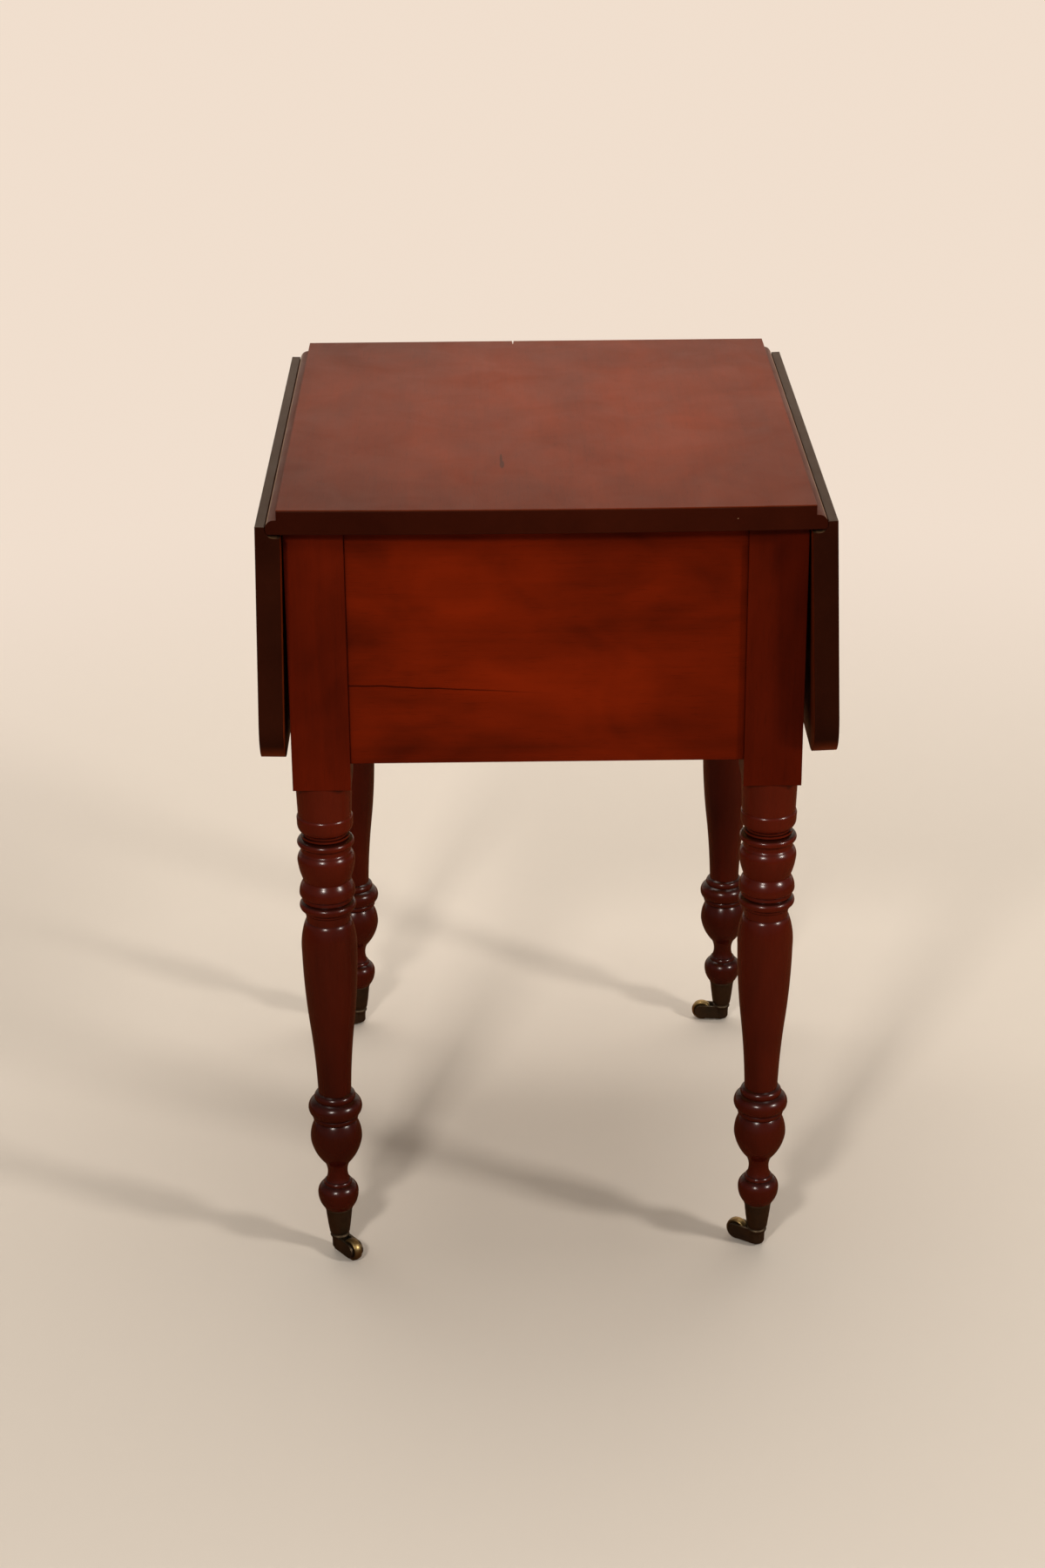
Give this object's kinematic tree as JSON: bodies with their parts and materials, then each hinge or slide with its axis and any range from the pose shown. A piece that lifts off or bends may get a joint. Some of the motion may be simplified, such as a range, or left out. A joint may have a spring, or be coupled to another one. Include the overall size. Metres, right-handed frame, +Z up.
{
  "type": "drop-leaf work table",
  "caption": "Small wooden drop-leaf work table with drawers in one end, turned legs on brass cup casters, and hanging leaves on rule joints.",
  "frame": {"origin": "on the floor, under the middle of the table", "axes": "+Z up; +X to the right in the picture, out of one leaf; +Y away from the pictured plain end, out of the end that holds the drawers"},
  "size_m": [0.4746, 0.5192, 0.705],
  "materials": {
    "polished_top": "dark polished cherry, worn, with a soft sheen",
    "polished_case": "red-brown polished cherry",
    "secondary_wood": "plain, unpolished",
    "drawer_lining": "plain, unpolished",
    "wheel_brass": "worn bright by rolling",
    "patinated_brass": "dark patina",
    "iron": "dark, slightly rusted"
  },
  "bodies": {
    "case": {"top_board": "polished_top", "back_panel": "polished_case", "side_board_left": "polished_case", "side_board_right": "polished_case", "leg_back_left": "polished_case", "leg_back_right": "polished_case", "leg_front_left": "polished_case", "leg_front_right": "polished_case", "front_top_rail": "polished_case", "front_middle_rail": "polished_case", "front_bottom_rail": "polished_case", "backing_rail_left": "secondary_wood", "backing_rail_right": "secondary_wood", "drawer_runners": "secondary_wood", "drawer_guides": "secondary_wood", "kickers": "secondary_wood", "drawer_stops": "secondary_wood", "support_arm_left": "secondary_wood", "support_arm_right": "secondary_wood", "support_arm_pins": "iron", "top_hinge_plates": "iron", "caster_cups": "patinated_brass"},
    "left_leaf": {"left_leaf": "polished_top", "left_leaf_hinge_plates": "iron"},
    "right_leaf": {"right_leaf": "polished_top", "right_leaf_hinge_plates": "iron"},
    "upper_drawer": {"upper_drawer_front": "polished_case", "upper_drawer_side_left": "drawer_lining", "upper_drawer_side_right": "drawer_lining", "upper_drawer_back": "drawer_lining", "upper_drawer_bottom": "drawer_lining", "upper_drawer_knobs": "polished_case"},
    "lower_drawer": {"lower_drawer_front": "polished_case", "lower_drawer_side_left": "drawer_lining", "lower_drawer_side_right": "drawer_lining", "lower_drawer_back": "drawer_lining", "lower_drawer_bottom": "drawer_lining", "lower_drawer_knobs": "polished_case"},
    "caster_swivel_back_left": {"caster_horn_back_left": "patinated_brass"},
    "caster_swivel_back_right": {"caster_horn_back_right": "patinated_brass"},
    "caster_swivel_front_left": {"caster_horn_front_left": "patinated_brass"},
    "caster_swivel_front_right": {"caster_horn_front_right": "patinated_brass"},
    "caster_wheel_back_left": {"caster_wheel_back_left": "wheel_brass"},
    "caster_wheel_back_right": {"caster_wheel_back_right": "wheel_brass"},
    "caster_wheel_front_left": {"caster_wheel_front_left": "wheel_brass"},
    "caster_wheel_front_right": {"caster_wheel_front_right": "wheel_brass"}
  },
  "joints": [
    {"name": "left_leaf_hinge", "type": "hinge", "parent": "case", "child": "left_leaf", "pos_m": [-0.2154, 0, 0.6897], "axis": [0, 1, 0], "range_deg": [0, 88.7]},
    {"name": "right_leaf_hinge", "type": "hinge", "parent": "case", "child": "right_leaf", "pos_m": [0.2154, 0, 0.6897], "axis": [0, -1, 0], "range_deg": [0, 87.7]},
    {"name": "upper_drawer_slide", "type": "slide", "parent": "case", "child": "upper_drawer", "axis": [0, 1, 0], "range_m": [0, 0.3]},
    {"name": "lower_drawer_slide", "type": "slide", "parent": "case", "child": "lower_drawer", "axis": [0, 1, 0], "range_m": [0, 0.3]},
    {"name": "caster_swivel_back_left_turn", "type": "hinge", "parent": "case", "child": "caster_swivel_back_left", "pos_m": [-0.186, -0.214, 0.02], "axis": [0, 0, 1], "continuous": true},
    {"name": "caster_wheel_back_left_roll", "type": "hinge", "parent": "caster_swivel_back_left", "child": "caster_wheel_back_left", "pos_m": [-0.17396, -0.22997, 0.01], "axis": [0.7986, 0.6018, 0], "continuous": true},
    {"name": "caster_swivel_back_right_turn", "type": "hinge", "parent": "case", "child": "caster_swivel_back_right", "pos_m": [0.186, -0.214, 0.02], "axis": [0, 0, 1], "continuous": true},
    {"name": "caster_wheel_back_right_roll", "type": "hinge", "parent": "caster_swivel_back_right", "child": "caster_wheel_back_right", "pos_m": [0.16962, -0.20253, 0.01], "axis": [-0.5736, -0.8192, 0], "continuous": true},
    {"name": "caster_swivel_front_left_turn", "type": "hinge", "parent": "case", "child": "caster_swivel_front_left", "pos_m": [-0.186, 0.214, 0.02], "axis": [0, 0, 1], "continuous": true},
    {"name": "caster_wheel_front_left_roll", "type": "hinge", "parent": "caster_swivel_front_left", "child": "caster_wheel_front_left", "pos_m": [-0.20479, 0.20716, 0.01], "axis": [0.342, -0.9397, 0], "continuous": true},
    {"name": "caster_swivel_front_right_turn", "type": "hinge", "parent": "case", "child": "caster_swivel_front_right", "pos_m": [0.186, 0.214, 0.02], "axis": [0, 0, 1], "continuous": true},
    {"name": "caster_wheel_front_right_roll", "type": "hinge", "parent": "caster_swivel_front_right", "child": "caster_wheel_front_right", "pos_m": [0.16619, 0.21678, 0.01], "axis": [-0.1392, -0.9903, 0], "continuous": true}
  ]
}
